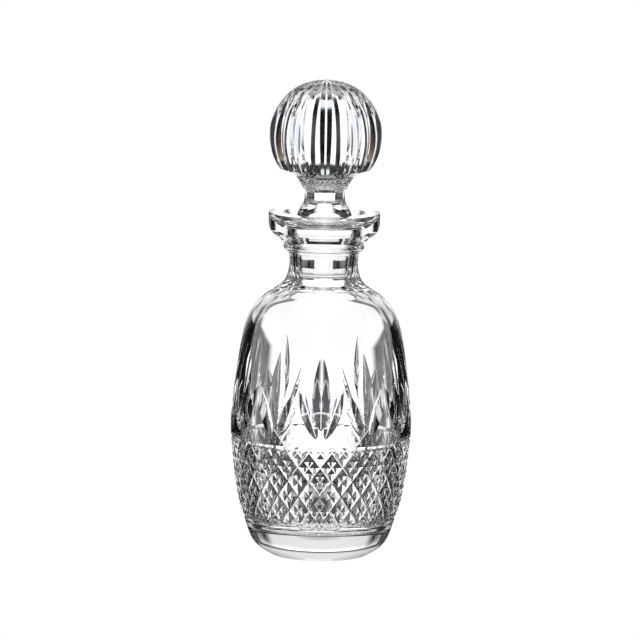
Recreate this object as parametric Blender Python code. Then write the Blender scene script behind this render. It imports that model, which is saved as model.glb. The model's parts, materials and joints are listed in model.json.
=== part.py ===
# A cut-glass decanter in two pieces: a bottle with a flared drip cup, and a ball stopper
# whose tapered plug is ground to the bottle's neck.
# Metres, +Z up. The origin is the centre of the foot that the bottle stands on.

import math

import bpy
from mathutils import Vector

MM = 0.001

# Panels that the cutting wheel makes round each part of the glass
BOTTLE_PANELS = 12
WAIST_PANELS = 9
BALL_PANELS = 20

# Bottle, outside, from the foot up
FOOT_RADIUS = 26.3 * MM
HEEL_RADIUS = 41.6 * MM
HEEL_HEIGHT = 19 * MM
BELLY_RADIUS = 50.5 * MM
BELLY_HEIGHT = 75 * MM
SHOULDER_RADIUS = 41.3 * MM
SHOULDER_HEIGHT = 135.2 * MM
NECK_ROOT_RADIUS = 22.2 * MM
NECK_ROOT_HEIGHT = 153 * MM
NECK_RADIUS = 19.5 * MM
NECK_HEIGHT = 165.7 * MM
COLLAR_RADIUS = 22.3 * MM
COLLAR_HEIGHT = 171.6 * MM
COLLAR_BAND = 3.6 * MM
CUP_RADIUS = 31 * MM
CUP_RISE = 10 * MM
RIM_HEIGHT = 192.7 * MM
RIM_WIDTH = 7.8 * MM
EDGE_ROUND = 0.6 * MM

# Bottle, inside
WALL = 5.5 * MM
FLOOR_HEIGHT = 17 * MM
FLOOR_CORNER = 15 * MM
SEAT_BOTTOM_RADIUS = 14.3 * MM
SEAT_BOTTOM_HEIGHT = 151 * MM
SEAT_TOP_RADIUS = 15.9 * MM
SEAT_TOP_HEIGHT = 185.6 * MM

# Stopper
FIT_GAP = 0.3 * MM
PLUG_BOTTOM_HEIGHT = 152 * MM
SKIRT_HEIGHT = 187 * MM
WAIST_RADIUS = 11.5 * MM
WAIST_HEIGHT = 201 * MM
THROAT_RADIUS = 16.7 * MM
THROAT_HEIGHT = 213.4 * MM
THROAT_OVERLAP = 3 * MM
BALL_RADIUS = 31.8 * MM
BALL_HEIGHT = 235.5 * MM
BALL_EDGE_HEIGHT = 217.2 * MM
BALL_GROOVE_DEPTH = 2.1 * MM
BALL_GROOVE_HALF_SHARE = 1 / 3
FLATS_TOP_HEIGHT = 206.4 * MM

# Diamond band round the lower body, between two ring cuts
BAND_LOW = 21 * MM
BAND_HIGH = 66 * MM
BAND_HALF_ROWS = 5
DIAMONDS_PER_PANEL = 2
DIAMOND_DEPTH = 1.3 * MM
DIAMOND_TABLE_SHARE = 0.48
RING_DEPTH = 1.2 * MM
RING_WIDTH = 3 * MM

# Fans above the band: the lean, start, length and width of the middle ray and of the pair beside it
FAN_DEPTH = 2.8 * MM
FAN_RAYS = (
    (0, 12 * MM, 41 * MM, 9 * MM),
    (math.radians(20), 8 * MM, 27 * MM, 6.5 * MM),
)
RAY_FULLEST_SHARE = 0.42

# Star under the foot
STAR_RADIUS = 18 * MM
STAR_DEPTH = 1 * MM
STAR_WIDTH = 3.4 * MM
STAR_RAYS_PER_PANEL = 2

# How far a cutter stands clear of the glass, and how far its ends lift off it
CLEAR = 3 * MM
TIP_LIFT = 0.15 * MM
SLIVER = 0.01 * MM

# Where the outline's knots lie between two named points: shares of the radius and of the height
HEEL_KNOT_SHARES = ((0.438, 0.195), (0.66, 0.337), (0.817, 0.553))
SIDE_KNOT_SHARES = ((0.27, 0.116), (0.618, 0.355), (0.899, 0.718))
UPPER_KNOT_SHARES = ((0.065, 0.186), (0.337, 0.523), (0.728, 0.86))
SHOULDER_KNOT_SHARES = ((0.126, 0.253), (0.283, 0.427), (0.628, 0.747), (0.80, 0.84))
NECK_KNOT_SHARES = ((0.59, 0.33),)
CUP_KNOT_SHARES = ((0.237, 0.2), (0.505, 0.4), (0.72, 0.55), (0.9, 0.76))
DISH_KNOT_SHARES = ((0.28, 0.52), (0.68, 0.84))
FLOOR_KNOT_SHARES = ((0.6, 0.0), (0.78, 0.07), (0.9, 0.24), (0.97, 0.52))
SKIRT_KNOT_SHARES = ((0.10, 0.22), (0.42, 0.58), (0.92, 0.77))
THROAT_KNOT_SHARES = ((0.04, 0.28), (0.19, 0.42), (0.58, 0.69))


def between(start, end, shares):
    """Knots between two outline points, at shares of the way in radius and in height."""
    return [
        (start[0] + (end[0] - start[0]) * radius_share, start[1] + (end[1] - start[1]) * height_share)
        for radius_share, height_share in shares
    ]


def smooth_run(knots, steps):
    """A smooth curve through the knots, as points, with as many steps in each span."""
    places = [Vector(knot) for knot in knots]
    spans = [after - before for before, after in zip(places, places[1:])]
    slopes = [spans[0].normalized()]
    for before, after in zip(spans, spans[1:]):
        slopes.append((before.normalized() * after.length + after.normalized() * before.length).normalized())
    slopes.append(spans[-1].normalized())
    points = []
    for index, span in enumerate(spans):
        for step in range(steps):
            t = step / steps
            rise = t * t * (3 - 2 * t)
            points.append(
                places[index] * (1 - rise)
                + places[index + 1] * rise
                + slopes[index] * (span.length * t * (1 - t) ** 2)
                - slopes[index + 1] * (span.length * t * t * (1 - t))
            )
    points.append(places[-1])
    return points


def offset_inwards(points, distance):
    """The points moved square to their curve, to its left as the curve rises: into the glass."""
    moved = []
    for index, point in enumerate(points):
        before = points[max(index - 1, 0)]
        after = points[min(index + 1, len(points) - 1)]
        along = (after - before).normalized()
        moved.append(point + Vector((-along.y, along.x)) * distance)
    return moved


def bottle_side():
    """Knots of the bottle's outside, from the edge of the foot to the underside of the collar."""
    foot = (FOOT_RADIUS, 0)
    heel = (HEEL_RADIUS, HEEL_HEIGHT)
    belly = (BELLY_RADIUS, BELLY_HEIGHT)
    shoulder = (SHOULDER_RADIUS, SHOULDER_HEIGHT)
    root = (NECK_ROOT_RADIUS, NECK_ROOT_HEIGHT)
    neck = (NECK_RADIUS, NECK_HEIGHT)
    return [
        foot,
        *between(foot, heel, HEEL_KNOT_SHARES),
        heel,
        *between(heel, belly, SIDE_KNOT_SHARES),
        belly,
        *between(belly, shoulder, UPPER_KNOT_SHARES),
        shoulder,
        *between(shoulder, root, SHOULDER_KNOT_SHARES),
        root,
        *between(root, neck, NECK_KNOT_SHARES),
        neck,
        (NECK_RADIUS + EDGE_ROUND, COLLAR_HEIGHT),
    ]


def surface_at(height, side=[]):
    """The outside's radius at a height, and the slope of the radius there."""
    if not side:
        side.extend(smooth_run(bottle_side(), 16))
    for below, above in zip(side, side[1:]):
        if below.y <= height <= above.y:
            share = (height - below.y) / (above.y - below.y)
            return below.x + (above.x - below.x) * share, (above.x - below.x) / (above.y - below.y)
    raise ValueError("the height is off the bottle's side")


def panelled(angle, panels):
    """Share of the radius left by flat panels that meet in ridges."""
    pitch = 2 * math.pi / panels
    off = (angle + pitch / 2) % pitch - pitch / 2
    return math.cos(pitch / 2) / math.cos(off)


def lobed(angle, panels):
    """Share of the radius left by V grooves between round lobes, a groove to a panel."""
    pitch = 2 * math.pi / panels
    off = (angle + pitch / 2) % pitch - pitch / 2
    return 1 - BALL_GROOVE_DEPTH / BALL_RADIUS * max(0, 1 - abs(off) / (pitch * BALL_GROOVE_HALF_SHARE))


class Shell:
    """Rings of points round Z, joined from one ring to the next into a closed body."""

    def __init__(self, panels, shape, panel_columns=4):
        self.columns = panel_columns * panels
        self.panels = panels
        self.shape = shape
        self.points = []
        self.faces = []
        self.last = None

    def point(self, column, radius, height, share=0):
        """A point at a column. The front, at -Y, is column zero."""
        angle = 2 * math.pi * column / self.columns
        radius *= 1 + share * (self.shape(angle, self.panels) - 1)
        self.points.append((radius * math.sin(angle), -radius * math.cos(angle), height))
        return len(self.points) - 1

    def ring(self, radius, height, share=0):
        """The next ring. A ring without a radius is one point on the axis."""
        if radius == 0:
            ring = [self.point(0, 0, height)] * self.columns
        else:
            ring = [self.point(column, radius, height, share) for column in range(self.columns)]
        if self.last:
            for column in range(self.columns):
                beside = (column + 1) % self.columns
                corners = (self.last[column], self.last[beside], ring[beside], ring[column])
                self.faces.append(tuple(dict.fromkeys(corners)))
        self.last = ring

    def rings(self, points, share=0):
        for radius, height in points:
            self.ring(radius, height, share)

    def mesh(self, name):
        made = bpy.data.meshes.new(name)
        made.from_pydata(self.points, [], self.faces)
        return made


def add(name, mesh, turn=0.0):
    made = bpy.data.objects.new(name, mesh)
    made.rotation_euler.z = turn
    bpy.context.scene.collection.objects.link(made)
    return made


def crystal(name, colour):
    """Clear lead crystal, polished."""
    made = bpy.data.materials.new(name)
    made.use_nodes = True
    shader = made.node_tree.nodes["Principled BSDF"]
    shader.inputs["Base Color"].default_value = (*colour, 1)
    shader.inputs["Metallic"].default_value = 0
    shader.inputs["Roughness"].default_value = 0.02
    shader.inputs["IOR"].default_value = 1.54
    shader.inputs["Transmission Weight"].default_value = 1
    return made


def ring_cut(shell, height):
    """The bottom of a V cut round the bottle, and the heights of its two lips."""
    radius, _ = surface_at(height)
    shell.ring(radius - RING_DEPTH, height)
    return shell.last


def diamond_band(shell):
    """Raised diamonds with flat tables between slanting V cuts, from one ring cut to the other."""
    low_lip = BAND_LOW + RING_WIDTH / 2
    high_lip = BAND_HIGH - RING_WIDTH / 2
    per_column = DIAMONDS_PER_PANEL * 2 * shell.panels / shell.columns
    low_ring = ring_cut(shell, BAND_LOW)
    shell.last = None
    high_ring = ring_cut(shell, BAND_HIGH)

    def place(column, row, depth):
        height = low_lip + (high_lip - low_lip) * row / BAND_HALF_ROWS
        return shell.point(column / per_column, surface_at(height)[0] - depth, height)

    halves = 2 * DIAMONDS_PER_PANEL * shell.panels
    crossings = {
        (column, row): place(column, row, DIAMOND_DEPTH)
        for row in range(BAND_HALF_ROWS + 1)
        for column in range(row % 2, halves, 2)
    }
    for row in range(BAND_HALF_ROWS + 1):
        for column in range((row + 1) % 2, halves, 2):
            left = crossings[(column - 1) % halves, row]
            right = crossings[(column + 1) % halves, row]
            table_left = place(column - DIAMOND_TABLE_SHARE, row, 0)
            table_right = place(column + DIAMOND_TABLE_SHARE, row, 0)
            if row > 0:
                foot = crossings[column, row - 1]
                table_foot = place(column, row - DIAMOND_TABLE_SHARE, 0)
                shell.faces += [
                    (left, foot, table_foot, table_left),
                    (foot, right, table_right, table_foot),
                    (table_left, table_foot, table_right),
                ]
            else:
                shell.faces += lip_faces(low_ring, column, (left, table_left, table_right, right), False)
            if row < BAND_HALF_ROWS:
                head = crossings[column, row + 1]
                table_head = place(column, row + DIAMOND_TABLE_SHARE, 0)
                shell.faces += [
                    (right, head, table_head, table_right),
                    (head, left, table_left, table_head),
                    (table_left, table_right, table_head),
                ]
            else:
                shell.faces += lip_faces(high_ring, column, (left, table_left, table_right, right), True)


def lip_faces(ring, column, lip, above):
    """Faces from a ring cut's bottom to the lip of the half diamond beside it."""
    before, here, after = (ring[(column + step) % len(ring)] for step in (-1, 0, 1))
    left, table_left, table_right, right = lip
    faces = [(before, here, table_left, left), (here, table_right, table_left), (here, after, right, table_right)]
    return [tuple(reversed(face)) for face in faces] if above else faces


def v_cutter(name, path, slope):
    """A cutter with a V edge. The path gives points on the glass, the way out of it and the depth."""
    reach = max(depth for _, _, depth in path) + CLEAR
    points, faces = [], []
    for index, (place, out, depth) in enumerate(path):
        along = path[min(index + 1, len(path) - 1)][0] - path[max(index - 1, 0)][0]
        side = along.normalized().cross(out)
        edge = place - out * depth
        points += [edge, edge + (out + side * slope) * reach, edge + (out - side * slope) * reach]
        if index:
            a, b = 3 * index - 3, 3 * index
            faces += [(a, b, b + 1, a + 1), (a + 1, b + 1, b + 2, a + 2), (a + 2, b + 2, b, a)]
    last = len(points) - 3
    faces += [(0, 1, 2), (last, last + 2, last + 1)]
    made = bpy.data.meshes.new(name)
    made.from_pydata(points, [], faces)
    return made


def ray_path(lean, start, length, width, steps=6):
    """One ray of a fan: a leaf-shaped cut, deepest a little below its middle."""
    path = []
    power = math.log(0.5) / math.log(RAY_FULLEST_SHARE)
    for step in range(steps + 1):
        share = step / steps
        run = start + length * share
        height = BAND_HIGH + run * math.cos(lean)
        radius, slope = surface_at(height)
        angle = run * math.sin(lean) / radius
        around = Vector((math.sin(angle), -math.cos(angle), 0))
        fullness = math.sin(math.pi * share**power)
        depth = FAN_DEPTH * width / FAN_RAYS[0][3] * fullness - TIP_LIFT * (step in (0, steps))
        out = (around - Vector((0, 0, slope))).normalized()
        path.append((around * radius + Vector((0, 0, height)), out, depth))
    return path


def star_path(steps=2):
    """One cut right across the star under the foot, deepest at its middle."""
    path = []
    for step in range(-steps, steps + 1):
        share = step / steps
        depth = STAR_DEPTH * (1 - abs(share)) - TIP_LIFT * (abs(share) == 1)
        path.append((Vector((STAR_RADIUS * share, 0, 0)), Vector((0, 0, -1)), depth))
    return path


def cutters():
    """The cutters of the fans and the star, in a collection that the bottle's Boolean takes away."""
    made = []
    ray_slope = FAN_RAYS[0][3] / 2 / FAN_DEPTH
    for index, (lean, start, length, width) in enumerate(FAN_RAYS):
        for hand in (1, -1) if lean else (1,):
            side = "right" if hand > 0 else "left"
            mesh = v_cutter(f"ray_{index}_{side}", ray_path(hand * lean, start, length, width), ray_slope)
            for fan in range(BOTTLE_PANELS):
                made.append(add(f"{mesh.name}_{fan}", mesh, 2 * math.pi * fan / BOTTLE_PANELS))
    star_cuts = BOTTLE_PANELS * STAR_RAYS_PER_PANEL // 2
    star_mesh = v_cutter("star", star_path(), STAR_WIDTH / 2 / STAR_DEPTH)
    for cut in range(star_cuts):
        made.append(add(f"star_{cut}", star_mesh, math.pi * (cut + 0.5) / star_cuts))
    group = bpy.data.collections.new("cutters")
    bpy.context.scene.collection.children.link(group)
    for cutter in made:
        bpy.context.scene.collection.objects.unlink(cutter)
        group.objects.link(cutter)
        cutter.hide_render = True
        cutter.display_type = "WIRE"
    return group


def bottle_outside(shell):
    """The bottle from the middle of its foot to the lip of its drip cup."""
    shell.ring(0, 0)
    side = [Vector(knot) for knot in bottle_side()]
    low_lip = BAND_LOW - RING_WIDTH / 2
    high_lip = BAND_HIGH + RING_WIDTH / 2
    shell.rings(point for point in side if point.y < low_lip - EDGE_ROUND)
    shell.ring(surface_at(low_lip)[0], low_lip)
    diamond_band(shell)
    shell.ring(surface_at(high_lip)[0], high_lip)
    # The neck's flat panels fade out over the shoulder and end just under the collar.
    fade_radius = (SHOULDER_RADIUS + 2 * NECK_ROOT_RADIUS) / 3
    for point in side[:-1]:
        if point.y > high_lip + EDGE_ROUND:
            flat = (fade_radius - point.x) / (fade_radius - NECK_ROOT_RADIUS)
            shell.ring(point.x, point.y, min(max(flat, 0), 1))
    collar_top = COLLAR_HEIGHT + COLLAR_BAND
    inner_edge = COLLAR_RADIUS - EDGE_ROUND
    cup_start = (inner_edge, collar_top)
    cup_end = (CUP_RADIUS, collar_top + CUP_RISE)
    rim_inner = CUP_RADIUS - RIM_WIDTH
    shell.ring(*side[-1])
    shell.ring(inner_edge, COLLAR_HEIGHT)
    shell.ring(COLLAR_RADIUS, COLLAR_HEIGHT + EDGE_ROUND)
    shell.ring(COLLAR_RADIUS, collar_top - EDGE_ROUND)
    shell.rings(smooth_run([cup_start, *between(cup_start, cup_end, CUP_KNOT_SHARES), cup_end], 2))
    shell.ring(CUP_RADIUS, RIM_HEIGHT - EDGE_ROUND)
    shell.ring(CUP_RADIUS - EDGE_ROUND, RIM_HEIGHT)
    shell.ring(rim_inner + EDGE_ROUND, RIM_HEIGHT)


def bottle_inside(shell):
    """The dish of the drip cup, the tapered seat and the cavity down to its rounded floor."""
    dish_start = (CUP_RADIUS - RIM_WIDTH, RIM_HEIGHT - EDGE_ROUND)
    seat_top = (SEAT_TOP_RADIUS, SEAT_TOP_HEIGHT)
    shell.rings(smooth_run([dish_start, *between(dish_start, seat_top, DISH_KNOT_SHARES), seat_top], 2))
    # The cavity follows the outside at one wall's distance, from the seat down to the round of its
    # floor, and is nowhere narrower than the seat.
    corner_top = FLOOR_HEIGHT + FLOOR_CORNER
    seat_bottom = (SEAT_BOTTOM_RADIUS, SEAT_BOTTOM_HEIGHT)
    walls = offset_inwards([Vector(knot) for knot in bottle_side()], WALL)
    cavity = [
        (max(point.x, SEAT_BOTTOM_RADIUS), point.y)
        for point in walls
        if corner_top + WALL < point.y < SEAT_BOTTOM_HEIGHT - WALL
    ]
    floor = (0, FLOOR_HEIGHT)
    corner = (surface_at(corner_top)[0] - WALL, corner_top)
    shell.rings([seat_bottom, *reversed(cavity), corner])
    shell.rings(reversed(between(floor, corner, FLOOR_KNOT_SHARES)))
    shell.ring(*floor)


def weld(made):
    """Joins the corners that a cut leaves closer together than any real edge."""
    joined = made.modifiers.new("weld", "WELD")
    joined.merge_threshold = SLIVER


def bottle():
    shell = Shell(BOTTLE_PANELS, panelled)
    bottle_outside(shell)
    bottle_inside(shell)
    made = add("bottle", shell.mesh("bottle"))
    made.data.materials.append(crystal("bottle_crystal", (0.97, 0.98, 0.98)))
    cut = made.modifiers.new("cuts", "BOOLEAN")
    cut.operation = "DIFFERENCE"
    cut.operand_type = "COLLECTION"
    cut.collection = cutters()
    weld(made)
    return made


def stopper_shank():
    """The tapered plug, the skirt over the seat, the flat-sided waist and the throat."""
    taper = (SEAT_TOP_RADIUS - SEAT_BOTTOM_RADIUS) / (SEAT_TOP_HEIGHT - SEAT_BOTTOM_HEIGHT)

    def plug_radius(height):
        return SEAT_BOTTOM_RADIUS + taper * (height - SEAT_BOTTOM_HEIGHT) - FIT_GAP

    shell = Shell(WAIST_PANELS, panelled)
    shell.ring(0, PLUG_BOTTOM_HEIGHT)
    shell.ring(plug_radius(PLUG_BOTTOM_HEIGHT) - EDGE_ROUND, PLUG_BOTTOM_HEIGHT)
    shell.ring(plug_radius(PLUG_BOTTOM_HEIGHT), PLUG_BOTTOM_HEIGHT + EDGE_ROUND)
    shell.ring(plug_radius(SEAT_TOP_HEIGHT), SEAT_TOP_HEIGHT)
    skirt = (plug_radius(SEAT_TOP_HEIGHT), SKIRT_HEIGHT)
    waist = (WAIST_RADIUS, WAIST_HEIGHT)
    throat = (THROAT_RADIUS, THROAT_HEIGHT)
    rising = smooth_run([skirt, *between(skirt, waist, SKIRT_KNOT_SHARES), waist], 2)
    for point in rising:
        flat = (skirt[0] - point.x) / (skirt[0] - WAIST_RADIUS)
        shell.ring(point.x, point.y, min(max(flat, 0), 1))
    opening = smooth_run([waist, *between(waist, throat, THROAT_KNOT_SHARES), throat], 2)
    for point in opening[1:]:
        shell.ring(point.x, point.y, int(point.y < FLATS_TOP_HEIGHT))
    shell.ring(THROAT_RADIUS, THROAT_HEIGHT + THROAT_OVERLAP)
    shell.ring(0, THROAT_HEIGHT + THROAT_OVERLAP)
    return shell.mesh("shank")


def stopper_ball(rows_below=4, rows_above=10):
    """The ball. Its V grooves are deepest at its widest ring, and run up to its crown."""
    shell = Shell(BALL_PANELS, lobed, 6)
    edge = BALL_EDGE_HEIGHT - BALL_HEIGHT
    low = math.asin(edge / BALL_RADIUS)
    edge_radius = BALL_RADIUS * math.cos(low)
    under_slope = (BALL_EDGE_HEIGHT - THROAT_HEIGHT) / (edge_radius - THROAT_RADIUS)
    inner = THROAT_RADIUS - THROAT_OVERLAP
    shell.ring(0, BALL_EDGE_HEIGHT - under_slope * (edge_radius - inner))
    shell.ring(inner, BALL_EDGE_HEIGHT - under_slope * (edge_radius - inner))
    for row in range(-rows_below, rows_above):
        latitude = row * (math.pi / 2 / rows_above if row > 0 else -low / rows_below)
        wide = math.cos(latitude)
        # Above the widest ring the grooves are cut equally deep into each ring. Below it they run out.
        fullness = 1 / wide if row > 0 else math.cos(2 * latitude) / wide**2
        shell.ring(BALL_RADIUS * wide, BALL_HEIGHT + BALL_RADIUS * math.sin(latitude), fullness)
    shell.ring(0, BALL_HEIGHT + BALL_RADIUS)
    return shell.mesh("ball")


def stopper():
    """The stopper: a ball and a shank, one solid piece of glass."""
    made = add("stopper", stopper_shank())
    made.data.materials.append(crystal("stopper_crystal", (0.97, 0.975, 0.985)))
    ball = add("ball_shape", stopper_ball())
    ball.hide_render = True
    ball.display_type = "WIRE"
    join = made.modifiers.new("ball", "BOOLEAN")
    join.operation = "UNION"
    join.object = ball
    weld(made)
    return made


def main():
    for old in list(bpy.data.objects):
        bpy.data.objects.remove(old)
    for piece in (bottle(), stopper()):
        piece.data.shade_smooth()
        piece.data.set_sharp_from_angle(angle=math.radians(20))


main()
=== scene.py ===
import json
import math
import bpy
import numpy as np
from mathutils import Matrix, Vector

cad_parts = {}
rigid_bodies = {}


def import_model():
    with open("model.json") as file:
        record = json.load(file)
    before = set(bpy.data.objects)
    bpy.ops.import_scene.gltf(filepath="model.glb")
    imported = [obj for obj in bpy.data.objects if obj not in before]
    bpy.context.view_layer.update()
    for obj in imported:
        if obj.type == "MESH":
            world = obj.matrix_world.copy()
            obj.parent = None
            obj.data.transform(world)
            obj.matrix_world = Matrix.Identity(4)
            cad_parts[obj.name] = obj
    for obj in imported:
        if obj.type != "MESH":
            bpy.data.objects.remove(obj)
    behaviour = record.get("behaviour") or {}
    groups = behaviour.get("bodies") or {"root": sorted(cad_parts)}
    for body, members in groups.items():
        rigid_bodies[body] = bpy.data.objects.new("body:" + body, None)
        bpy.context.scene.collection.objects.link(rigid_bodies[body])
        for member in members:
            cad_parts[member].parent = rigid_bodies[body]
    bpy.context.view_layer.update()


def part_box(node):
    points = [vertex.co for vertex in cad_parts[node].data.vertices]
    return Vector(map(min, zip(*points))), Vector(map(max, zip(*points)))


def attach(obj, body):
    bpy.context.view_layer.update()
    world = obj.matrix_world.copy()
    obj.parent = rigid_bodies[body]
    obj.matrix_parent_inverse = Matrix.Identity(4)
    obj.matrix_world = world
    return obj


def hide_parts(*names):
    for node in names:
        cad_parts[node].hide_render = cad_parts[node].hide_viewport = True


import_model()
print("frame loaded")

# Outlines are in millimetres, radius then height. The frame gives their scale.
rimHeight = 192.7
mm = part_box("bottle")[1].z / rimHeight

# The camera stands where the photograph's did: a long lens, a little above the rim's level.
cameraView = dict(
    elevation=8.2, roll=0.97, distance=3.6,      # degrees, degrees, metres
    pictureMm=357.0, pixels=640,                 # what the picture spans at the object, and its width
    footX=318.7, footY=554.0,                    # where the foot's middle falls in the picture
    sensor=36, nearest=0.1, furthest=50,
)

bottle = dict(
    columns=192,                                 # corners of each turned ring
    panels=12,
    corner=0.35,                                 # the small round along each turned edge
    side=[(26.3, 0), (33.0, 3.7), (36.4, 6.4), (38.8, 10.5), (41.6, 19), (44.0, 25.5), (47.1, 38.9),
          (49.6, 59.2), (50.45, 75), (49.9, 86.2), (47.4, 106.5), (43.8, 126.8), (41.3, 135.2), (38.9, 139.8),
          (35.9, 142.8), (29.3, 148.4), (26.0, 150.3), (22.3, 153), (20.6, 157.2), (19.5, 165.7), (20.1, 171.6)],
    collar=[(21.4, 171.6), (22.3, 172.6), (22.3, 174.2), (21.7, 175.2)],
    cup=[(21.7, 175.2), (23.9, 177.2), (26.4, 179.2), (28.4, 180.7), (29.9, 182.6), (30.75, 185.2),
         (31, 188)],
    rimRadius=31.0,
    rimWidth=7.8,
    dish=[(23.2, 192.7), (21.2, 189.0), (18.2, 186.8), (15.9, 185.6)],
    seat=[(15.9, 185.6), (14.3, 151.0)],
    inside=[(14.3, 151.0), (19.5, 147.6), (26.0, 144.1), (32.2, 138.75), (34.5, 136.3), (36.2, 133.2),
            (38.4, 125.6), (42.0, 105.7), (44.4, 85.7), (45.0, 75.1), (44.1, 59.7), (41.7, 39.8), (40.2, 32),
            (39.0, 24.8), (36.2, 20.6), (31.4, 18.05), (24.1, 17.0), (0, 17.0)],
    # the panels run from the top down to the end radius on the shoulder, and fade out from the start radius
    neckFlats=dict(top=170.9, foot=140.0, full=21.5, start=21.0, end=31.0, past=2.0, steep=1.6, wider=1.25),
    band=dict(low=21.0, high=66.0, inset=0.3, steps=37, across=24, halfRows=5, depth=1.3, width=5.4,
              fine=1, fineDepth=0.75, fineWidth=3.2),
    ring=dict(depth=1.2, width=3.0),
    # each ray's lean in degrees, start above the band, length and width
    fans=dict(depth=3.2, fullest=0.42, steps=31, rays=[(0, 11, 43, 10.5), (20, 7, 30, 7.5)]),
    star=dict(radius=18.0, depth=1.0, width=3.4, rays=24, steps=9),
)

stopper = dict(
    columns=240,
    corner=0.4,
    gap=0.3,                                     # between the plug and its seat
    plugFoot=152.0,
    skirt=[(15.6, 187.0), (15.2, 190.1), (13.9, 195.1), (11.8, 197.9), (11.4, 201.0), (11.7, 204.5),
           (12.5, 206.3), (14.5, 209.7), (16.7, 213.4)],
    ballRadius=31.5,
    ballHeight=235.5,
    ballEdge=217.2,
    ballSteps=150,
    # upward and downward say how fast a groove's depth fades towards the pole and towards the neck
    grooves=dict(count=20, depth=2.0, width=9.14, bottom=0.57, upward=0.9, downward=1.2,
                 below=0.12, pole=89.5, steps=61),
    flats=dict(count=9, top=206.4, bottom=195.0, fade=3.0, wider=1.2),
)

# The turned glass has the slow ripple of blown glass, the cuts the fine marks of the polishing wheel.
glasses = dict(
    ior=1.54,
    detail=2.0,
    turned=dict(colour=(0.985, 0.99, 0.99), scale=70.0, bump=0.00001, haze=0.03),
    cut=dict(colour=(0.98, 0.985, 0.99), scale=900.0, bump=0.000001, haze=0.06),
)

# The room's soft lights are set by bearing and rise in degrees. The screens are listed by the piece that they
# light, in metres and degrees: how far away, from foot to top, from start to end at each side of the middle.
# An end or a glow that changes with the height is a list of (height, value), and is blended between them.
light = dict(
    room=0.006,
    level=dict(edge=24.0, soft=10.0),
    sides=dict(middle=90.0, reach=14.0, soft=6.0, glow=0.8),
    front=dict(edge=166.0, soft=5.0, glow=0.8),
    above=dict(edge=62.0, soft=10.0, glow=0.3),
    below=dict(edge=-46.0, soft=8.0, glow=0.6),
    columns=160,
    fringe=0.1,                                  # red and blue part by this much at a screen's ends
    screens=dict(
        bottle=dict(
            card=dict(away=0.060, foot=-0.1, top=0.30, soft=3.0,
                      end=((0.026, 17.0), (0.050, 24.0), (0.070, 35.0), (0.111, 35.0), (0.127, 50.0),
                           (0.139, 50.0), (0.146, 9.0), (0.160, 9.0), (0.168, 27.0)),
                      glow=((0.008, 0.8), (0.014, 0.0), (0.026, 0.0), (0.036, 1.2), (0.211, 1.2),
                            (0.221, 0.06))),
            edge=dict(away=0.0602, foot=0.0, top=0.14, start=47.0, end=51.0, soft=2.0,
                      glow=((0.045, 0.0), (0.065, 1.0), (0.108, 1.0), (0.120, 0.0))),
            dim=dict(away=0.0605, foot=-0.1, top=0.30, end=50.0, soft=4.0, tint=(0.9, 0.97, 1.1),
                     glow=((0.0, 0.03), (0.055, 0.03), (0.06, 0.09), (0.101, 0.09), (0.108, 0.0))),
            high=dict(away=0.45, foot=0.15, top=0.5, end=22.0, soft=3.0,
                      glow=((0.16, 0.0), (0.19, 0.4), (0.40, 0.4), (0.45, 0.0))),
            base=dict(away=1.5, foot=0.2, top=1.0, end=36.0, soft=5.0,
                      glow=((0.27, 0.0), (0.33, 0.82), (0.80, 0.82), (0.90, 0.0))),
        ),
        stopper=dict(
            wall=dict(away=2.0, foot=-3.0, top=3.5, end=19.0, soft=1.5,
                      glow=((-2.0, 0.25), (-1.5, 1.2), (0.75, 1.2), (0.85, 0.0))),
            gap=dict(away=1.9, foot=-1.5, top=1.5, start=25.5, end=31.0, soft=1.0, glow=1.0),
            window=dict(away=1.2, foot=-1.0, top=1.0, start=51.0, end=64.0, soft=1.5, glow=1.0,
                        tint=(0.9, 0.96, 1.1)),
            side=dict(away=1.2, foot=-1.0, top=1.0, start=102.0, end=116.0, soft=2.0, glow=1.0),
            front=dict(away=1.2, foot=-1.0, top=1.0, start=130.0, end=156.0, soft=1.5, glow=1.0),
        ),
    ),
)

floorDisc = dict(radius=0.35, under=0.0002, corners=96)
bounces = dict(total=24, transmission=24, glossy=12)

sharpFrom = 16          # degrees between two faces past which their edge is crisp
onOutline = 0.3         # mm from an outline point within which a corner counts as turned
justClear = 0.1         # mm by which the ends of a cut's path stay out of the glass
atOnce = 20000          # corners that are looked up in one slice


# Shader maths as expressions. Each operator adds one Math node to the tree.
class Wire:
    def __init__(self, tree, socket):
        self.tree = tree
        self.socket = socket

    def math(self, operation, *values):
        return addNode(self.tree, "ShaderNodeMath", dict(operation=operation), [self, *values])

    def __add__(self, other): return self.math("ADD", other)
    def __radd__(self, other): return self.math("ADD", other)
    def __mul__(self, other): return self.math("MULTIPLY", other)
    def __rmul__(self, other): return self.math("MULTIPLY", other)
    def __sub__(self, other): return self.math("SUBTRACT", other)
    def __abs__(self): return self.math("ABSOLUTE")

    def __rsub__(self, other):
        return addNode(self.tree, "ShaderNodeMath", dict(operation="SUBTRACT"), [other, self])


def addNode(tree, kind, settings=None, values=(), output=0):
    # any node: its settings first, then the values or links of its sockets, by place or by name
    node = tree.nodes.new(kind)
    for name, value in (settings or {}).items():
        setattr(node, name, value)
    for socket, value in (values.items() if isinstance(values, dict) else enumerate(values)):
        if isinstance(value, Wire):
            tree.links.new(value.socket, node.inputs[socket])
        elif value is not None:
            node.inputs[socket].default_value = value
    return Wire(tree, node.outputs[output]) if node.outputs else node


def step(value, edge, soft):
    # 0 below the edge and 1 above it, eased over the softness at each side of the edge
    return addNode(value.tree, "ShaderNodeMapRange", dict(interpolation_type="SMOOTHSTEP"),
                   [value, edge - soft, edge + soft, 0.0, 1.0])


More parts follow.
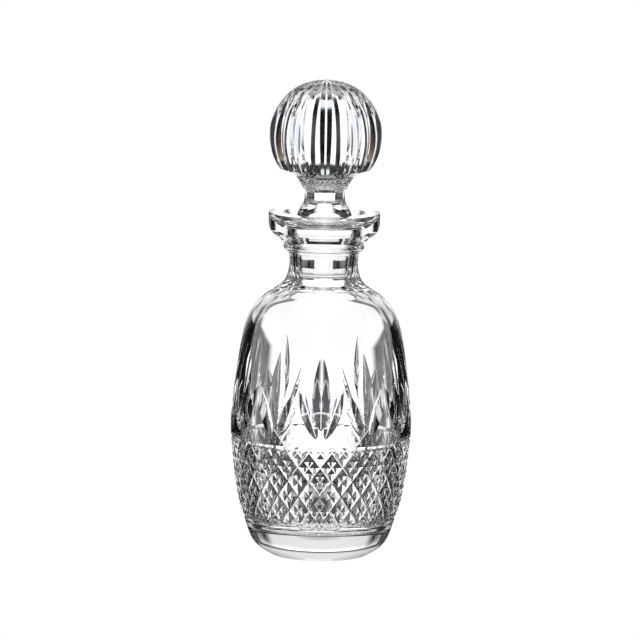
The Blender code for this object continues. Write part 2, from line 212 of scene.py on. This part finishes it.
def bearing(tree, kind, output=0, angular=True):
    # From a direction or a place: degrees to the side of +Y, the arctangent of x over y, and either
    # degrees above the horizon, the arcsine of z, or z as it is.
    way = addNode(tree, kind, None, (), output)
    split = tree.nodes.new("ShaderNodeSeparateXYZ")
    tree.links.new(way.socket, split.inputs[0])
    x, y, z = (Wire(tree, socket) for socket in split.outputs)
    inDegrees = 180 / math.pi
    return x.math("ARCTAN2", y) * inDegrees, z.math("ARCSINE") * inDegrees if angular else z


def straight(start, end, count):
    return np.linspace(start, end, count)


def curveThrough(knots, stride):
    # A natural cubic spline through the knots, by chord length, with a point about every stride.
    knots = np.array(knots, float)
    spans = np.hypot(*np.diff(knots, axis=0).T)
    at = np.concatenate([[0], np.cumsum(spans)])
    system = np.eye(len(at))
    pull = np.zeros_like(knots)
    slopes = np.diff(knots, axis=0) / spans[:, None]
    for row in range(1, len(at) - 1):
        system[row, row - 1:row + 2] = spans[row - 1], 2 * (spans[row - 1] + spans[row]), spans[row]
        pull[row] = 6 * (slopes[row] - slopes[row - 1])
    bend = np.linalg.solve(system, pull)
    where = np.linspace(0, at[-1], max(2, round(at[-1] / stride) + 1))
    low = np.clip(np.searchsorted(at, where, side="right") - 1, 0, len(at) - 2)
    h = spans[low][:, None]
    a = (at[low + 1] - where)[:, None]
    b = (where - at[low])[:, None]
    return (bend[low] * a**3 + bend[low + 1] * b**3) / (6 * h) + (knots[low] / h - bend[low] * h / 6) * a \
        + (knots[low + 1] / h - bend[low + 1] * h / 6) * b


def eased(points, spread):
    # Evens out the curvature: each point moves to the bell-weighted mean of its neighbours, the ends stay.
    reach = np.arange(-3 * spread, 3 * spread + 1)
    weights = np.exp(-0.5 * (reach / spread) ** 2)
    padded = np.concatenate([2 * points[0] - points[len(weights) // 2:0:-1], points,
                             2 * points[-1] - points[-2:-len(weights) // 2 - 1:-1]])
    return np.stack([np.convolve(column, weights / weights.sum(), "valid") for column in padded.T], 1)


def joined(runs, corner):
    # One outline of several runs. Each corner between two runs gets a small round, a quadratic curve.
    made = [runs[0]]
    for run in runs[1:]:
        before = made[-1]
        near = np.hypot(*(before - run[0]).T) > corner
        far = np.hypot(*(run - run[0]).T) > corner
        start = run[0] + (before[near][-1] - run[0]) * corner / np.hypot(*(before[near][-1] - run[0]))
        end = run[0] + (run[far][0] - run[0]) * corner / np.hypot(*(run[far][0] - run[0]))
        t = np.linspace(0, 1, 7)[:, None]
        made[-1] = before[near]
        made.append(start * (1 - t) ** 2 + run[0] * 2 * t * (1 - t) + end * t**2)
        made.append(run[far])
    return np.concatenate(made)


def facing(outline):
    # The way out of the glass along an outline that rises outside: its direction turned a quarter to the right.
    along = np.gradient(outline, axis=0)
    out = np.stack([along[:, 1], -along[:, 0]], 1)
    out /= np.hypot(*out.T)[:, None]
    for end in (0, -1):
        if outline[end, 0] < 1e-6:
            out[end] = 0, np.sign(out[end, 1])
    return out


def meshFrom(name, corners, faces):
    made = bpy.data.meshes.new(name)
    made.from_pydata(corners.tolist(), [], faces.tolist() if isinstance(faces, np.ndarray) else faces)
    return made


def turned(name, outline, columns):
    # A closed body turned round Z: each outline point becomes a ring of radius r at height z.
    angle = np.linspace(0, 2 * np.pi, columns, endpoint=False)
    rings = outline[1:-1]
    corners = np.stack([rings[:, :1] * np.sin(angle), -rings[:, :1] * np.cos(angle),
                        rings[:, 1:] + 0 * angle], 2).reshape(-1, 3)
    first = np.arange(len(rings) - 1)[:, None] * columns + np.arange(columns)
    beside = np.roll(first, -1, axis=1)
    quads = np.stack([first, beside, beside + columns, first + columns], 2).reshape(-1, 4)
    corners = np.concatenate([corners, [[0, 0, outline[0, 1]], [0, 0, outline[-1, 1]]]])
    low, high = len(corners) - 2, len(corners) - 1
    start = np.arange(columns)
    last = (len(rings) - 1) * columns + start
    caps = [np.stack([np.full(columns, low), np.roll(start, -1), start], 1),
            np.stack([np.full(columns, high), last, np.roll(last, -1)], 1)]
    return meshFrom(name, corners * mm, quads.tolist() + caps[0].tolist() + caps[1].tolist())


def swept(name, sections):
    # A closed body carried along a path: one convex section of the same corners at each step.
    steps, sides, _ = sections.shape
    first = np.arange(steps - 1)[:, None] * sides + np.arange(sides)
    beside = np.arange(steps - 1)[:, None] * sides + np.roll(np.arange(sides), -1)
    quads = np.stack([first, first + sides, beside + sides, beside], 2).reshape(-1, 4).tolist()
    ends = [list(range(sides)), list(range(steps * sides - 1, (steps - 1) * sides - 1, -1))]
    turn = np.cross(sections[:, 1] - sections[:, 0], sections[:, 2] - sections[:, 0])
    if (turn[:-1] * np.diff(sections.mean(1), axis=0)).sum() > 0:      # or its faces would look inwards
        quads, ends = [face[::-1] for face in quads], [face[::-1] for face in ends]
    return meshFrom(name, sections.reshape(-1, 3) * mm, quads + ends)


def turnedBy(points, angle):
    # The points turned round Z by the angle.
    c, s = math.cos(angle), math.sin(angle)
    return points @ np.array([[c, s, 0], [-s, c, 0], [0, 0, 1]])


def repeated(name, sections, count, turn=0.0):
    # The same cut at even steps all round. The turn shifts them all by a share of a step.
    return [swept(f"{name}_{copy}", turnedBy(sections, 2 * math.pi * (copy + turn) / count))
            for copy in range(count)]


def vSections(places, out, depth, slope, clear=0.6, bottom=0.25):
    # V sections: a narrow flat lies under the surface by the depth, and both flanks rise past the surface.
    along = np.gradient(places, axis=0)
    side = np.cross(along, out)
    side /= np.linalg.norm(side, axis=1)[:, None]
    edge = places - out * depth[:, None]
    reach = depth.max() + clear
    wide = reach * slope + bottom
    rise = out * reach
    return np.stack([edge - side * bottom, edge + side * bottom, edge + rise + side * wide,
                     edge + rise - side * wide], 1)


def flatSections(places, out, depth, halfWidth, clear=3.0, flare=1.3):
    # Flat sections: a straight line across, under the surface by the depth, in a block that rises past it.
    edge = places - out * depth[:, None]
    wide = halfWidth[:, None] * np.array([1.0, 0, 0])
    top = out * clear
    return np.stack([edge - wide, edge + wide, edge + wide * flare + top, edge - wide * flare + top], 1)


def flatCutters(name, line, depth, wider, count):
    # Flat panels all round. Each follows the line at the front, under it by the depth, and is as wide as
    # the radius times the tangent of half a panel's angle, and a little wider.
    along = np.gradient(line, axis=0)
    rising = line[-1, 1] > line[0, 1]
    out = np.stack([0 * along[:, 0], along[:, 1], along[:, 0]], 1) * (-1 if rising else 1)
    out /= np.linalg.norm(out, axis=1)[:, None]
    places = np.stack([0 * line[:, 0], -line[:, 0], line[:, 1]], 1)
    sections = flatSections(places, out, depth, line[:, 0] * math.tan(math.pi / count) * wider)
    return repeated(name, sections[:, ::-1] if rising else sections, count)


def cutterGroup(name, meshes, materials):
    # The cutting wheels' shapes. They are no part of the object and are removed once they have cut.
    group = bpy.data.collections.new(name)
    bpy.context.scene.collection.children.link(group)
    for mesh in meshes:
        cutter = bpy.data.objects.new(mesh.name, mesh)
        for material in materials:
            mesh.materials.append(material)
        mesh.polygons.foreach_set("material_index", np.ones(len(mesh.polygons), dtype=np.int32))
        group.objects.link(cutter)
    return group


def cutWith(blank, meshes, outline, materials):
    # Takes the cutters away from the blank, then gives the turned faces the outline's exact normals.
    # The first material is the turned glass, the second one that of the cuts.
    group = cutterGroup(blank.name + "_cutters", meshes, materials)
    for material in materials:
        blank.materials.append(material)
    body = bpy.data.objects.new(blank.name + "_blank", blank)
    bpy.context.scene.collection.objects.link(body)
    cut = body.modifiers.new("cuts", "BOOLEAN")
    cut.operation, cut.operand_type, cut.collection, cut.solver = "DIFFERENCE", "COLLECTION", group, "MANIFOLD"
    evaluated = body.evaluated_get(bpy.context.evaluated_depsgraph_get())
    made = bpy.data.meshes.new_from_object(evaluated)
    for cutter in list(group.objects):
        bpy.data.objects.remove(cutter)
    bpy.data.collections.remove(group)
    bpy.data.objects.remove(body)
    name = blank.name
    bpy.data.meshes.remove(blank)
    made.name = name
    shadeExactly(made, outline)
    return made


def outlineNormals(corners, outline):
    # The outline's way out at each corner: that of the nearest outline point, blended with the next one's by
    # the corner's place between the two, then turned to the corner's side. With it, how far that point is.
    radius = np.hypot(corners[:, 0], corners[:, 1])
    nearest = np.empty(len(corners), dtype=int)
    away = np.empty(len(corners))
    for start in range(0, len(corners), atOnce):
        part = slice(start, start + atOnce)
        gap = (radius[part, None] - outline[:, 0]) ** 2 + (corners[part, 2:3] - outline[:, 1]) ** 2
        nearest[part] = gap.argmin(1)
        away[part] = np.sqrt(gap.min(1))
    out = facing(outline)
    along = np.gradient(outline, axis=0)
    ahead = ((radius - outline[nearest, 0]) * along[nearest, 0]
             + (corners[:, 2] - outline[nearest, 1]) * along[nearest, 1]) / (along[nearest] ** 2).sum(1)
    other = np.clip(nearest + np.sign(ahead).astype(int), 0, len(outline) - 1)
    blend = np.clip(abs(ahead), 0, 1)[:, None]
    flat = out[nearest] * (1 - blend) + out[other] * blend
    unit = corners[:, :2] / np.maximum(radius, 1e-9)[:, None]
    exact = np.stack([flat[:, 0] * unit[:, 0], flat[:, 0] * unit[:, 1], flat[:, 1]], 1)
    onAxis = radius < 1e-6
    exact[onAxis] = np.stack([0 * flat[:, 0], 0 * flat[:, 0], np.sign(flat[:, 1])], 1)[onAxis]
    exact /= np.linalg.norm(exact, axis=1)[:, None]
    return exact, away


def valuesOf(items, name, kind, width=1):
    # One attribute of all the corners, edges or faces of a mesh, as an array.
    found = np.empty(len(items) * width, dtype=kind)
    items.foreach_get(name, found)
    return found.reshape(-1, width) if width > 1 else found


def shadeExactly(mesh, outline):
    # Smooth faces with crisp creases. The corners of turned faces take the outline's exact normals.
    exact, away = outlineNormals(valuesOf(mesh.vertices, "co", float, 3) / mm, outline)
    corner = valuesOf(mesh.loops, "vertex_index", np.int32)
    sizes = valuesOf(mesh.polygons, "loop_total", np.int32)
    slot = valuesOf(mesh.polygons, "material_index", np.int32)
    slotHere = slot[np.repeat(np.arange(len(sizes)), sizes)]
    # the crease between two kinds of face, and between two flanks, stays crisp
    mesh.shade_smooth()
    mesh.set_sharp_from_angle(angle=math.radians(sharpFrom))
    edgeOf = valuesOf(mesh.loops, "edge_index", np.int32)
    lowest = np.full(len(mesh.edges), len(mesh.materials))
    highest = np.full(len(mesh.edges), -1)
    np.minimum.at(lowest, edgeOf, slotHere)
    np.maximum.at(highest, edgeOf, slotHere)
    sharp = valuesOf(mesh.edges, "use_edge_sharp", bool)
    mesh.edges.foreach_set("use_edge_sharp", sharp | (lowest != highest))
    mesh.update()
    shaded = valuesOf(mesh.corner_normals, "vector", np.float32, 3)
    onBlank = (slotHere == 0) & (away[corner] < onOutline)
    shaded[onBlank] = exact[corner[onBlank]]
    mesh.normals_split_custom_set(shaded.tolist())
    print(" ", mesh.name, len(mesh.vertices), "corners,", int((sizes - 2).sum()), "triangles,",
          int((slot == 1).sum()), "cut faces")


def bottleOutline():
    # From the foot's middle up the outside, over the rim, down the seat and round the hollow. The last number
    # is a curve's stride in mm, a straight run's count of points, or an easing's spread in points.
    side = eased(curveThrough(bottle["side"], 1.5), 2)
    side = side[side[:, 1] >= 0]
    side = np.concatenate([[bottle["side"][0]], side[1:]])
    rim = np.array([(bottle["rimRadius"], rimHeight), (bottle["rimRadius"] - bottle["rimWidth"], rimHeight)])
    runs = [
        straight((0, 0), bottle["side"][0], 12),
        side,
        straight(side[-1], bottle["collar"][0], 4),
        curveThrough(bottle["collar"], 0.3),
        curveThrough(bottle["cup"], 0.5),
        straight(bottle["cup"][-1], rim[0], 6),
        straight(rim[0], rim[1], 12),
        curveThrough(bottle["dish"], 0.5),
        straight(bottle["seat"][0], bottle["seat"][1], 12),
        eased(curveThrough(bottle["inside"], 2.0), 2),
    ]
    outline = joined(runs, bottle["corner"])
    outline[0] = 0, 0
    outline[-1, 0] = 0
    return outline, side


def radiusAt(side, height):
    # The side's radius at a height, read between its outline points.
    return np.interp(height, side[:, 1], side[:, 0])


def onSide(side, angle, height):
    # Points on the bottle's side, front at -Y, and the way out of the glass there.
    radius = radiusAt(side, height)
    slope = radiusAt(side, height + 0.5) - radiusAt(side, height - 0.5)
    around = np.stack([np.sin(angle), -np.cos(angle), 0 * angle], 1)
    places = around * radius[:, None] + np.stack([0 * height, 0 * height, height], 1)
    out = around - np.stack([0 * slope, 0 * slope, slope], 1)
    return places, out / np.linalg.norm(out, axis=1)[:, None]


def bandCutters(side):
    # Slanting V cuts in both hands: 24 deep ones, and a fine one between each two. A cut climbs at a steady
    # rate from ring to ring while it turns by half the rows' share of the circle.
    band = bottle["band"]
    lip = bottle["ring"]["width"] / 2
    low, high = band["low"] + band["inset"], band["high"] - band["inset"]
    height = low + (high - low) * np.linspace(0, 1, band["steps"])
    climbed = (height - band["low"] - lip) / (band["high"] - band["low"] - 2 * lip)
    turn = climbed * band["halfRows"] * math.pi / band["across"]
    made = []
    families = [("deep", band["depth"], band["width"], 0.0)]
    for fine in range(1, band["fine"] + 1):
        families.append((f"fine{fine}", band["fineDepth"], band["fineWidth"], fine / (band["fine"] + 1)))
    for name, depth, width, shift in families:
        for hand in (1, -1):
            places, out = onSide(side, hand * turn, height)
            sections = vSections(places, out, np.full(len(height), float(depth)), width / 2 / depth, 0.3)
            made += repeated(f"{name}_{hand}", sections, band["across"], shift)
    return made


def fanCutters(side):
    # Fans of V cuts above the band: an upright ray and a leaning one at each side. A ray's depth is half a
    # sine wave along it, warped so that it is deepest at the fullest share of its length.
    fans = bottle["fans"]
    power = math.log(0.5) / math.log(fans["fullest"])
    share = np.linspace(0, 1, fans["steps"])
    widest = fans["rays"][0][3]
    made = []
    for lean, start, length, width in fans["rays"]:
        for hand in (1, -1) if lean else (1,):
            run = start + length * share
            height = bottle["band"]["high"] + run * math.cos(math.radians(lean))
            angle = hand * run * math.sin(math.radians(lean)) / radiusAt(side, height)
            depth = fans["depth"] * width / widest * np.sin(np.pi * share**power)
            depth[[0, -1]] = -justClear
            places, out = onSide(side, angle, height)
            sections = vSections(places, out, depth, widest / 2 / fans["depth"], 1.0)
            made += repeated(f"ray_{lean}_{hand}", sections, bottle["panels"])
    return made


def ringCutters(side):
    # The two ring cuts: a V section, its point under the side by the depth, turned once round Z.
    ring = bottle["ring"]
    angle = np.linspace(0, 2 * np.pi, bottle["columns"], endpoint=False)[:, None]
    half = (ring["depth"] + 1) * (ring["width"] / 2 / ring["depth"])
    made = []
    for height in (bottle["band"]["low"], bottle["band"]["high"]):
        radius = radiusAt(side, height)
        section = np.array([(radius - ring["depth"], height), (radius + 1, height - half),
                            (radius + 1, height + half)])
        corners = np.stack([section[:, 0] * np.sin(angle), -section[:, 0] * np.cos(angle),
                            section[:, 1] + 0 * angle], 2)
        first = np.arange(len(angle))[:, None] * 3 + np.arange(3)
        after = np.roll(first, -1, axis=0)
        quads = np.stack([first, after, np.roll(after, -1, axis=1), np.roll(first, -1, axis=1)], 2)
        made.append(meshFrom(f"ring_{height}", corners.reshape(-1, 3) * mm, quads.reshape(-1, 4)))
    return made


def starCutters():
    # The star under the foot: V cuts right across it, deepest in the middle and out of the glass at the ends.
    star = bottle["star"]
    share = np.linspace(-1, 1, star["steps"])
    places = np.stack([share * star["radius"], 0 * share, 0 * share], 1)
    out = np.repeat([[0.0, 0, -1]], len(share), 0)
    depth = star["depth"] * (1 - abs(share)) - justClear * (abs(share) == 1)
    sections = vSections(places, out, depth, star["width"] / 2 / star["depth"])
    cuts = star["rays"] // 2
    return [swept(f"star_{cut}", turnedBy(sections, math.pi * (cut + 0.5) / cuts)) for cut in range(cuts)]


def neckCutters(side):
    # Flat panels round the neck. A panel is as deep as its ridges allow, the radius times 1 less the cosine of
    # half a panel's angle, and runs out over the shoulder.
    flats = bottle["neckFlats"]
    root = side[(side[:, 1] > flats["foot"]) & (side[:, 1] < flats["top"])]
    root = root[root[:, 0] < flats["end"] + flats["past"]][::-1]
    full = root[:, 0] * (1 - math.cos(math.pi / bottle["panels"]))
    fade = np.clip((flats["end"] - root[:, 0]) / (flats["end"] - flats["start"]), -0.2, 1)
    depth = full[0] * np.minimum(fade * flats["steep"], 1)
    narrow = root[:, 0] < flats["full"]
    depth[narrow] = full[narrow]
    return flatCutters("neck_flat", root, depth, flats["wider"], bottle["panels"])


def makeBottle(materials):
    outline, side = bottleOutline()
    meshes = bandCutters(side) + fanCutters(side) + ringCutters(side) + starCutters() + neckCutters(side)
    print("bottle:", len(outline), "outline points,", len(meshes), "cutters")
    return cutWith(turned("cut_bottle", outline, bottle["columns"]), meshes, outline, materials)


def ballEdgeLatitude():
    # Where the ball ends on its neck: the arcsine of that height from its middle over its radius.
    return math.asin((stopper["ballEdge"] - stopper["ballHeight"]) / stopper["ballRadius"])


def stopperOutline():
    # From the middle of the plug's foot up the plug, which lies inside the seat's line by the gap, and over
    # the skirt and the waist to the top of the ball.
    latitude = np.linspace(ballEdgeLatitude(), math.pi / 2, stopper["ballSteps"])
    ball = np.stack([stopper["ballRadius"] * np.cos(latitude),
                     stopper["ballHeight"] + stopper["ballRadius"] * np.sin(latitude)], 1)
    seat = bottle["seat"]
    taper = (seat[0][0] - seat[1][0]) / (seat[0][1] - seat[1][1])
    foot, top = ((seat[1][0] + taper * (height - seat[1][1]) - stopper["gap"], height)
                 for height in (stopper["plugFoot"], stopper["skirt"][0][1]))
    waist = eased(curveThrough([top, *stopper["skirt"][1:]], 0.4), 2)
    runs = [
        straight((0, foot[1]), foot, 10),
        straight(foot, top, 24),
        waist,
        straight(stopper["skirt"][-1], ball[0], 10),
        ball,
    ]
    outline = joined(runs, stopper["corner"])
    outline[0, 0] = outline[-1, 0] = 0
    return outline, waist


def grooveCutters():
    # V grooves from pole to neck on the ball. A groove's depth is the cosine of its latitude times a fade.
    grooves = stopper["grooves"]
    latitude = np.linspace(ballEdgeLatitude() - grooves["below"], math.radians(grooves["pole"]), grooves["steps"])
    out = np.stack([0 * latitude, -np.cos(latitude), np.sin(latitude)], 1)
    places = out * stopper["ballRadius"] + [0, 0, stopper["ballHeight"]]
    fade = np.where(latitude > 0, grooves["upward"], grooves["downward"])
    depth = grooves["depth"] * np.cos(latitude * fade)
    slope = (grooves["width"] / 2 - grooves["bottom"]) / grooves["depth"]
    sections = vSections(places, out, depth, slope, 1.0, grooves["bottom"])
    return repeated("groove", sections, grooves["count"])


def waistCutters(waist):
    # Flat panels round the waist, as deep as its narrowest place allows, which fade out over the skirt.
    flats = stopper["flats"]
    part = waist[(waist[:, 1] > flats["bottom"]) & (waist[:, 1] < flats["top"])]
    fade = np.clip((part[:, 1] - flats["bottom"]) / flats["fade"] - 0.05, -0.1, 1)
    depth = part[:, 0].min() * (1 - math.cos(math.pi / flats["count"])) * fade
    return flatCutters("waist_flat", part, depth, flats["wider"], flats["count"])


def makeStopper(materials):
    outline, waist = stopperOutline()
    meshes = grooveCutters() + waistCutters(waist)
    print("stopper:", len(outline), "outline points,", len(meshes), "cutters")
    return cutWith(turned("cut_stopper", outline, stopper["columns"]), meshes, outline, materials)


def crystal(name, glass):
    # Clear lead crystal. One noise gives both the faint bump and the haze: its height times the bump's depth
    # in metres, and its height times the roughest value.
    made = bpy.data.materials.new(name)
    made.use_nodes = True
    tree = made.node_tree
    shader = tree.nodes["Principled BSDF"]
    shader.inputs["Base Color"].default_value = (*glass["colour"], 1)
    shader.inputs["IOR"].default_value = glasses["ior"]
    shader.inputs["Transmission Weight"].default_value = 1
    where = addNode(tree, "ShaderNodeTexCoord", None, (), 3)
    noise = addNode(tree, "ShaderNodeTexNoise", None,
                    {"Vector": where, "Scale": glass["scale"], "Detail": glasses["detail"]})
    bump = addNode(tree, "ShaderNodeBump", None, {"Strength": 1.0, "Distance": glass["bump"], "Height": noise})
    haze = noise * glass["haze"]
    tree.links.new(haze.socket, shader.inputs["Roughness"])
    tree.links.new(bump.socket, shader.inputs["Normal"])
    return made


def place(mesh, body, node):
    piece = bpy.data.objects.new(mesh.name, mesh)
    bpy.context.scene.collection.objects.link(piece)
    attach(piece, body)
    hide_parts(node)
    return piece


def marksOf(value):
    # A value that stays the same at every height counts as one mark.
    return value if isinstance(value, tuple) else ((0.0, value),)


def byHeight(height, marks):
    # A value that runs straight from mark to mark as the height rises.
    value = marks[0][1]
    for (low, before), (high, after) in zip(marks, marks[1:]):
        share = addNode(height.tree, "ShaderNodeMapRange", None, [height, low, high, 0.0, 1.0])
        value = share * (after - before) + value
    return value


def glowingScreen(name, size):
    # A curved screen, or a pair of them, part of a cylinder round Z: the sine and cosine of its bearing times
    # how far it is away. Its light fades out towards its ends, where it is clear.
    ends, glows = marksOf(size["end"]), marksOf(size["glow"])
    columns = light["columns"]
    reach = max(end for _, end in ends) + size["soft"] + 1
    angle = np.radians(np.linspace(-reach, reach, columns + 1))
    rims = [np.stack([size["away"] * np.sin(angle), size["away"] * np.cos(angle), 0 * angle + level], 1)
            for level in (size["foot"], size["top"])]
    first = np.arange(columns)
    quads = np.stack([first, first + 1, first + columns + 2, first + columns + 1], 1)
    mesh = meshFrom(name, np.concatenate(rims), quads)
    material = bpy.data.materials.new(name)
    material.use_nodes = True
    tree = material.node_tree
    tree.nodes.clear()
    side, height = bearing(tree, "ShaderNodeTexCoord", 3, False)
    end = byHeight(height, ends)
    glow = byHeight(height, glows)
    channels = []
    for shift in (-light["fringe"], 0.0, light["fringe"]):
        shown = 1 - step(abs(side) - end + shift, 0.0, size["soft"])
        if "start" in size:
            shown = shown * step(abs(side) + shift, size["start"], size["soft"])
        channels.append(shown)
    tint = size.get("tint", (1.0, 1.0, 1.0))
    colour = addNode(tree, "ShaderNodeCombineXYZ", None, [c * glow * t for c, t in zip(channels, tint)])
    glowing = addNode(tree, "ShaderNodeEmission", None, [colour, 1.0])
    clear = addNode(tree, "ShaderNodeBsdfTransparent", None, [(1, 1, 1, 1)])
    added = addNode(tree, "ShaderNodeAddShader", None, [clear, glowing])
    addNode(tree, "ShaderNodeOutputMaterial", None, [added])
    mesh.materials.append(material)
    screen = bpy.data.objects.new(name, mesh)
    bpy.context.scene.collection.objects.link(screen)
    screen.visible_camera = screen.visible_diffuse = screen.visible_shadow = False
    return screen


def studio():
    # Bright-field light: screens behind the object, in a dark room with a soft light at each side, in front,
    # above and below. The camera itself sees plain white there.
    world = bpy.data.worlds.new("studio")
    bpy.context.scene.world = world
    world.use_nodes = True
    tree = world.node_tree
    tree.nodes.clear()
    side, rise = bearing(tree, "ShaderNodeTexCoord")
    off = abs(side)
    level, sides, front, above, below = (light[name] for name in ("level", "sides", "front", "above", "below"))
    near = 1 - step(abs(rise), level["edge"], level["soft"])
    glow = ((1 - step(abs(off - sides["middle"]), sides["reach"], sides["soft"])) * near * sides["glow"]
            + step(off, front["edge"], front["soft"]) * near * front["glow"]
            + step(rise, above["edge"], above["soft"]) * above["glow"]
            + (1 - step(rise, below["edge"], below["soft"])) * below["glow"] + light["room"])
    seen = addNode(tree, "ShaderNodeLightPath")
    shade = addNode(tree, "ShaderNodeCombineXYZ", None, [glow, glow, glow])
    mixed = addNode(tree, "ShaderNodeMix", dict(data_type="RGBA"), {0: seen, 6: shade, 7: (1, 1, 1, 1)}, 2)
    background = addNode(tree, "ShaderNodeBackground", None, [mixed, 1.0])
    addNode(tree, "ShaderNodeOutputWorld", None, [background])
    return {body: [glowingScreen(name, size) for name, size in group.items()]
            for body, group in light["screens"].items()}


def floor():
    # A pale disc just under the foot, its rim at the radius times cosine and sine. Only the camera sees it.
    angle = np.linspace(0, 2 * np.pi, floorDisc["corners"], endpoint=False)
    rim = np.stack([floorDisc["radius"] * np.cos(angle), floorDisc["radius"] * np.sin(angle),
                    0 * angle - floorDisc["under"]], 1)
    mesh = meshFrom("floor", rim, [list(range(len(rim)))])
    material = bpy.data.materials.new("pale_floor")
    material.use_nodes = True
    shader = material.node_tree.nodes["Principled BSDF"]
    shader.inputs["Base Color"].default_value = (0, 0, 0, 1)
    shader.inputs["Specular IOR Level"].default_value = 0
    shader.inputs["Emission Color"].default_value = (1, 1, 1, 1)
    shader.inputs["Emission Strength"].default_value = 1.0
    mesh.materials.append(material)
    disc = bpy.data.objects.new("floor", mesh)
    bpy.context.scene.collection.objects.link(disc)
    disc.visible_transmission = disc.visible_glossy = disc.visible_diffuse = disc.visible_shadow = False


def camera():
    # A long lens from the front, a little above, rolled as the photograph is.
    view = cameraView
    data = bpy.data.cameras.new("camera")
    made = bpy.data.objects.new("camera", data)
    bpy.context.scene.collection.objects.link(made)
    bpy.context.scene.camera = made
    data.sensor_width = view["sensor"]
    data.lens = view["sensor"] * view["distance"] / (view["pictureMm"] * mm)
    data.clip_start, data.clip_end = view["nearest"], view["furthest"]
    perPixel = view["pictureMm"] / view["pixels"] * mm
    e = math.radians(view["elevation"])
    lean = math.radians(view["roll"])
    # the picture's middle from the foot's, in pixels, turned back into upright ones
    middle = view["pixels"] / 2
    right, up = middle - view["footX"], view["footY"] - middle
    aside = (right * math.cos(lean) - up * math.sin(lean)) * perPixel
    rise = (right * math.sin(lean) + up * math.cos(lean)) * perPixel / math.cos(e)
    back = np.array([0, -math.cos(e), math.sin(e)])
    made.location = np.array([aside, 0, rise]) + back * view["distance"]
    turn = Matrix.Rotation(math.radians(90) - e, 4, "X")
    made.rotation_euler = (turn @ Matrix.Rotation(lean, 4, "Z")).to_euler()


screens = studio()
camera()
floor()
print("stage set")

turnedGlass = crystal("turned_crystal", glasses["turned"])
cutGlass = crystal("cut_crystal", glasses["cut"])
bottlePiece = place(makeBottle([turnedGlass, cutGlass]), "bottle", "bottle")
print("bottle made")
stopperPiece = place(makeStopper([turnedGlass, cutGlass]), "stopper", "stopper")
print("stopper made")

# each screen lights one piece only, as black flags would keep it off the other
for body, piece in (("bottle", bottlePiece), ("stopper", stopperPiece)):
    lit = bpy.data.collections.new("screens_light_" + body)
    lit.objects.link(piece)
    for screen in screens[body]:
        screen.light_linking.receiver_collection = lit
print("screens set")

scene = bpy.context.scene
scene.cycles.use_denoising = True
scene.cycles.max_bounces = bounces["total"]
scene.cycles.transmission_bounces = bounces["transmission"]
scene.cycles.glossy_bounces = bounces["glossy"]
scene.view_settings.view_transform = "Standard"
